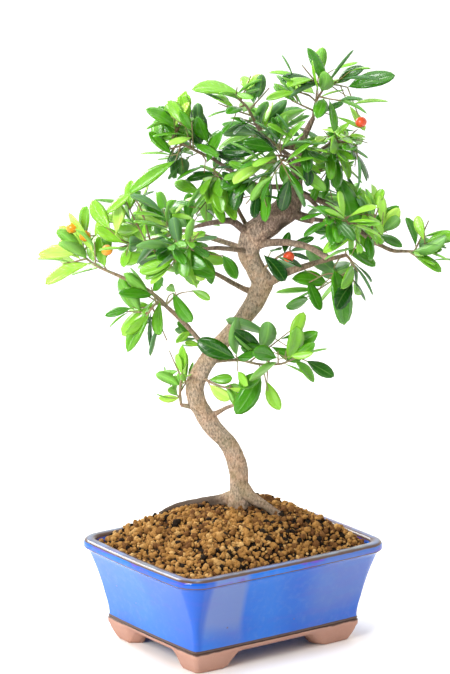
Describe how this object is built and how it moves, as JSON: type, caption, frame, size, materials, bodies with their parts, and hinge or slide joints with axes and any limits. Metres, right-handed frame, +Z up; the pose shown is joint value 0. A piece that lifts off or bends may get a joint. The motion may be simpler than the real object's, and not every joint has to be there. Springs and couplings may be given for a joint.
{
  "type": "pyracantha bonsai in a glazed pot",
  "caption": "Informal upright bonsai with an open crown of small glossy leaves and berries, in a rectangular glazed pot on bracket feet.",
  "frame": {"origin": "middle of the bounding box, at the level of the feet's flat undersides", "axes": "+Z up, +X along the pot's long side, and the tree's front faces between -X and -Y"},
  "size_m": [0.2146, 0.1766, 0.3737],
  "materials": {
    "blue_glaze": "glossy",
    "terracotta": "matte",
    "akadama_soil": "granular",
    "bark": "rough",
    "foliage": "glossy leaf"
  },
  "bodies": {
    "root": {"bough_apex_left": "bark", "bough_back_left": "bark", "bough_back_right": "bark", "bough_back_top": "bark", "bough_crown_front": "bark", "bough_crown_left": "bark", "bough_crown_right": "bark", "bough_far_left": "bark", "bough_far_right": "bark", "bough_front_left": "bark", "bough_front_right": "bark", "bough_lower_left": "bark", "bough_mid_left": "bark", "bough_right_long": "bark", "bough_right_low": "bark", "bough_upper_left": "bark", "foot_1": "terracotta", "foot_2": "terracotta", "foot_3": "terracotta", "foot_4": "terracotta", "leaves_apex": "foliage", "leaves_apex_left": "foliage", "leaves_back_left": "foliage", "leaves_back_right": "foliage", "leaves_back_top": "foliage", "leaves_crown_front": "foliage", "leaves_elbow": "foliage", "leaves_far_left": "foliage", "leaves_far_right": "foliage", "leaves_fork": "foliage", "leaves_front_left": "foliage", "leaves_front_right": "foliage", "leaves_left_inner": "foliage", "leaves_left_low": "foliage", "leaves_left_mid": "foliage", "leaves_low_left": "foliage", "leaves_low_mid": "foliage", "leaves_low_right": "foliage", "leaves_right_low": "foliage", "leaves_right_mid": "foliage", "leaves_right_upper": "foliage", "leaves_upper_left": "foliage", "leaves_upper_mid": "foliage", "pot": "blue_glaze", "soil": "akadama_soil", "stub_knuckle": "bark", "stub_low_left": "bark", "stub_low_right": "bark", "stub_right": "bark", "trunk": "bark", "twig_low_right": "bark", "twig_upper_left": "bark"}
  },
  "joints": []
}
